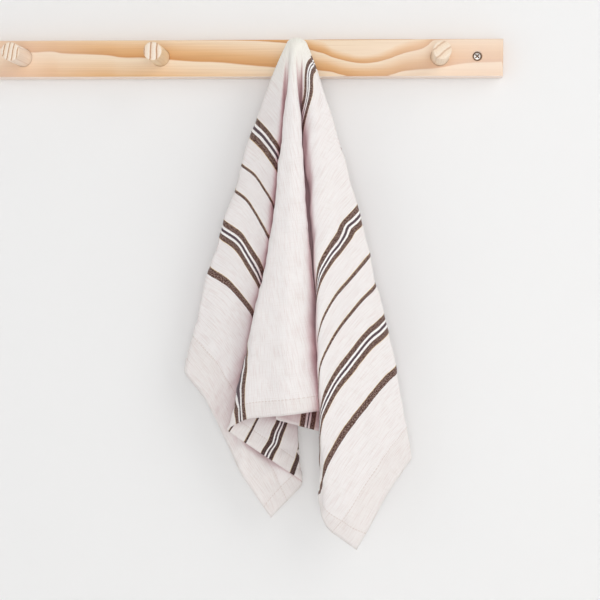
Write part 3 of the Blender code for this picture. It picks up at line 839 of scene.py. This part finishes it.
bm = bmesh.new()
bmesh.ops.create_grid(bm, x_segments=towel["columns"], y_segments=towel["rows"], size=1.0)
clothMesh = meshFrom(bm, "teaTowel")
grid = np.empty(len(clothMesh.vertices) * 3)
clothMesh.vertices.foreach_get("co", grid)
column = np.rint((grid[0::3] + 1) / 2 * towel["columns"]).astype(int)
row = np.rint((grid[1::3] + 1) / 2 * towel["rows"]).astype(int)
flatU = meshLines(-towel["left"], towel["right"], towel["columns"])[column]
flatW = meshLines(-towel["back"], towel["front"], towel["rows"])[row]
fromEnd = np.minimum(flatU + towel["left"], towel["right"] - flatU)
fromSide = np.minimum(flatW + towel["back"], towel["front"] - flatW)

places = drape(flatU, flatW)
probe = 0.0015             # step each way that gives the cloth's direction at a place
rightU = np.minimum(flatU + probe, towel["right"])
leftU = np.maximum(flatU - probe, -towel["left"])
acrossU = (drape(rightU, flatW) - drape(leftU, flatW)) / (rightU - leftU)[..., None]
acrossW = (drape(flatU, np.minimum(flatW + probe, towel["front"]))
           - drape(flatU, np.maximum(flatW - probe, -towel["back"])))
facing = np.cross(acrossW, acrossU)
facing /= np.maximum(np.linalg.norm(facing, axis=-1, keepdims=True), 1e-9)

# Unevenness that any hanging cloth has, in heights, sizes and the seeds that it is drawn from.
unevenness = {
    "bumps": (0.0008, 0.045, 5), "wrinkles": (0.00035, 0.017, 8),
    "endPucker": (0.0003, 0.011, 3), "sidePucker": (0.0003, 0.010, 4),
    "endReach": 0.006, "sideReach": 0.005,     # how far from the stitches the hems pucker
    "smoothTo": 0.03, "fullAfter": 0.12,       # the cloth on the peg is drawn smooth
}


def uneven(part):
    height, size, seed = unevenness[part]
    return height * ripple(flatU, flatW, size, seed)


awayFromTip = ease((np.hypot(flatU, flatW) - unevenness["smoothTo"]) / unevenness["fullAfter"])
hemPucker = uneven("endPucker") * np.exp(-((fromEnd - towel["endHem"]) / unevenness["endReach"]) ** 2)
hemPucker += uneven("sidePucker") * np.exp(-((fromSide - towel["sideHem"]) / unevenness["sideReach"]) ** 2)
raised = (uneven("bumps") + uneven("wrinkles") + hemPucker) * awayFromTip + creaseHeight(flatU, flatW)
places = places + facing * raised[..., None]

clothMesh.vertices.foreach_set("co", places.ravel())
flatMap = clothMesh.uv_layers.new(name="flatCloth")
corners = np.empty(len(clothMesh.loops), dtype=int)
clothMesh.loops.foreach_get("vertex_index", corners)
wovenU = flatU + towel["left"] + threadShift(flatU, flatW)
uv = np.stack((wovenU[corners], flatW[corners] + towel["back"]), axis=-1)
flatMap.data.foreach_set("uv", uv.ravel())
clothMesh.shade_smooth()


print("towel cloth")
# Half-linen tea towelling in plain weave: matt, slightly slubby off-white cloth with coloured end stripes
# woven in. The cream threads that cross the brown ones show through them as flecks.
weave = {
    "thread": 0.0009,           # thread spacing, drawn coarser than the real 0.5 mm so that it shows
    "slub": (18, 0.9), "otherSlub": (0.9, 18),              # millimetres along and across
    "wander": 0.0007, "wanderSize": (71.4, 29.4),
    "ragged": 0.0004, "raggedSize": (6.667, 1.111),
    "pink": "ECE0DE", "pinkShare": 0.6,
    "cream": "EFEDE7", "creamShare": 0.3,
    "fleck": "A98F84", "fleckSize": (0.9091, 1.613),        # drawn coarser than the real threads
    # painted shade deep in the folds: the mauve colour multiplied in, by how open the place is
    "deepReach": 0.055, "deep": ((0.06, "CBA6AB"), (0.32, "DFBBC1"), (0.85, "FFFFFF")),
    "hem": "FBFAF9",            # the hems let less light through
    # painted light round the peg's tip, and how far from the tip it fades out
    "paintedTopLight": "F9F9EA", "topLightShare": 0.75, "topLightFrom": 0.01, "topLightTo": 0.085,
    "stitchWidth": 0.0005, "stitchLength": 0.0032, "stitchGap": -0.6, "stitch": "F2EDEA",
}


def makeCloth(name, brown, fleckShare):
    material, shader, node, join = newMaterial(name)
    flat = node("UVMap", uv_map="flatCloth")
    u, v = node("SeparateXYZ", {0: flat}).outputs[:2]

    def clothNoise(size, detail, place=(0, 0, 0)):
        stretched = node("Mapping", {"Vector": flat, "Location": place, "Scale": grainScale(*weave[size])})
        return node("TexNoise", {"Vector": stretched, "Scale": 1.0, "Detail": detail})

    # the stripes wander a little and their edges are ragged by a thread
    moved = u
    for part, detail in (("wander", 2.0), ("ragged", 1.0)):
        step = node("MapRange", {0: clothNoise(part + "Size", detail), 3: -weave[part], 4: weave[part]})
        moved = node("Math", {0: moved, 1: step}, "ADD")
    fromOther = node("Math", {0: clothWidth, 1: moved}, "SUBTRACT")
    endDistance = node("Math", {0: moved, 1: fromOther}, "MINIMUM")
    middleStart = middleBand["place"] - middleBand["width"] / 2
    fromMiddle = node("Math", {0: moved, 1: middleStart}, "SUBTRACT")
    # painted light: the cloth is made paler and a little yellowed near the tip, where it rests on the peg
    fromTip = node("VectorMath", {0: flat, 1: (towel["left"], towel["back"], 0)}, "DISTANCE")
    paintedTopLight = node("MapRange", {0: fromTip.outputs["Value"], 1: weave["topLightFrom"], 2: weave["topLightTo"],
                             3: weave["topLightShare"], 4: 0.0})
    yarn = node("Mix", {"Factor": paintedTopLight, "A": threadColors["ground"], "B": weave["paintedTopLight"]})
    isBrown = 0.0
    allBands = [(endDistance, start, kind) for start, kind in bands]
    allBands.append((fromMiddle, 0, "middle"))
    for distance, start, kind in allBands:
        width = (threads[kind][-1][0] + 1) * mm
        inBand = node("MapRange", {0: distance, 1: start * mm, 2: start * mm + width})
        within = node("Math", {0: node("Math", {0: inBand, 1: 0.5}, "SUBTRACT")}, "ABSOLUTE")
        mask = node("Math", {0: within, 1: 0.499}, "LESS_THAN")
        # the brown threads are marked in alpha, for their flecks
        colors = {color: toLinear(threadColors[color], 0.0) for place, color in threads[kind]}
        colors["brown"] = toLinear(brown)
        across = node("ValToRGB", {0: inBand},
                      stops=[(place * mm / width, colors[color]) for place, color in threads[kind]])
        across.color_ramp.interpolation = "CONSTANT"
        yarn = node("Mix", {"Factor": mask, "A": yarn, "B": across})
        isBrown = node("Math", {0: across.outputs[1], 1: mask, 2: isBrown}, "MULTIPLY_ADD")

    # slubs: thicker, pinker or creamier stretches of thread both ways
    slubU = clothNoise("slub", 2.0)
    slubV = clothNoise("otherSlub", 2.0, (3.1, 7.7, 0))
    pinker = node("MapRange", {0: slubV, 1: 0.45, 2: 0.75, 4: weave["pinkShare"]})
    creamier = node("MapRange", {0: slubU, 1: 0.5, 2: 0.75, 4: weave["creamShare"]})
    pinked = node("Mix", {"Factor": pinker, "A": yarn, "B": weave["pink"]}, blend_type="MULTIPLY")
    creamed = node("Mix", {"Factor": creamier, "A": pinked, "B": weave["cream"]}, blend_type="MULTIPLY")

    # crossing threads show through the brown stripes as taupe flecks
    flecky = node("MapRange", {0: clothNoise("fleckSize", 1.0), 1: 0.44, 2: 0.62, 4: fleckShare})
    fleckMask = node("Math", {0: flecky, 1: isBrown}, "MULTIPLY")
    flecked = node("Mix", {"Factor": fleckMask, "A": creamed, "B": weave["fleck"]})

    # rows of stitches that hold the hems, a little sunk in the cloth
    fromSide = node("Math", {0: v, 1: node("Math", {0: clothDepth, 1: v}, "SUBTRACT")}, "MINIMUM")
    lines = []
    hems = []
    for distance, hem, alongIt in ((endDistance, towel["endHem"], v), (fromSide, towel["sideHem"], u)):
        off = node("Math", {0: distance, 1: hem}, "SUBTRACT")
        hems.append(node("Math", {0: off, 1: 0.0}, "LESS_THAN"))
        onLine = node("Math", {0: node("Math", {0: off}, "ABSOLUTE"), 1: weave["stitchWidth"]}, "LESS_THAN")
        turn = node("Math", {0: alongIt, 1: math.tau / weave["stitchLength"]}, "MULTIPLY")
        onStitch = node("Math", {0: node("Math", {0: turn}, "SINE"), 1: weave["stitchGap"]}, "GREATER_THAN")
        lines.append(node("Math", {0: onLine, 1: onStitch}, "MULTIPLY"))
    stitched = node("Math", {0: lines[0], 1: lines[1]}, "MAXIMUM")
    inHem = node("Math", {0: hems[0], 1: hems[1]}, "MAXIMUM")
    hemmed = node("Mix", {"Factor": inHem, "A": flecked, "B": weave["hem"]}, blend_type="MULTIPLY")
    sewn = node("Mix", {"Factor": stitched, "A": hemmed, "B": weave["stitch"]}, blend_type="MULTIPLY")

    # painted shade: deep in the folds the cloth is coloured darker and mauve, by how closed in the place is
    openness = node("AmbientOcclusion", {"Distance": weave["deepReach"]}, samples=12, only_local=True)
    paintedFoldShade = node("ValToRGB", {0: openness.outputs["AO"]}, stops=weave["deep"])
    foldShadedColor = node("Mix", {"Factor": 1.0, "A": sewn, "B": paintedFoldShade}, blend_type="MULTIPLY")

    # the weave itself: crowns of warp and weft threads
    perThread = math.tau / weave["thread"] / 2
    warp = node("Math", {0: node("Math", {0: u, 1: perThread}, "MULTIPLY")}, "SINE")
    weft = node("Math", {0: node("Math", {0: v, 1: perThread}, "MULTIPLY")}, "SINE")
    crowns = node("Math", {0: warp, 1: weft}, "MULTIPLY")
    slubs = node("Math", {0: slubU, 1: slubV}, "ADD")
    relief = node("Math", {0: slubs, 1: 2.0, 2: crowns}, "MULTIPLY_ADD")
    height = node("Math", {0: stitched, 1: -1.0, 2: relief}, "MULTIPLY_ADD")
    bump = node("Bump", {"Strength": 0.25, "Distance": 0.0004, "Height": height})

    join(foldShadedColor.outputs[2], shader.inputs["Base Color"])
    join(bump.outputs[0], shader.inputs["Normal"])
    shader.inputs["Roughness"].default_value = 0.92
    shader.inputs["Specular IOR Level"].default_value = 0.25
    shader.inputs["Sheen Weight"].default_value = 0.25
    shader.inputs["Sheen Roughness"].default_value = 0.5
    return material


teaTowel = addPiece("teaTowel", clothMesh, makeCloth("linenTowellingReverse", threadColors["reverse"], 0.35))
clothMesh.materials.append(makeCloth("linenTowelling", threadColors["brown"], 0.7))
hemGroup = teaTowel.vertex_groups.new(name="hem")
pastHem = np.minimum(fromEnd - towel["endHem"], fromSide - towel["sideHem"])
hemShare = 1 - ease(pastHem / towel["hemEdge"])
for index in np.nonzero(hemShare > 0)[0]:
    hemGroup.add([int(index)], float(hemShare[index]), "REPLACE")
thicken = teaTowel.modifiers.new("clothThickness", "SOLIDIFY")
thicken.thickness = towel["thickness"]
thicken.offset = 0.0
thicken.vertex_group = "hem"
thicken.thickness_vertex_group = towel["thinShare"]
thicken.material_offset = 1        # the face of the cloth. On its reverse the brown threads are drawn darker and less flecked.
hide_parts("towel")
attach(teaTowel, "root")
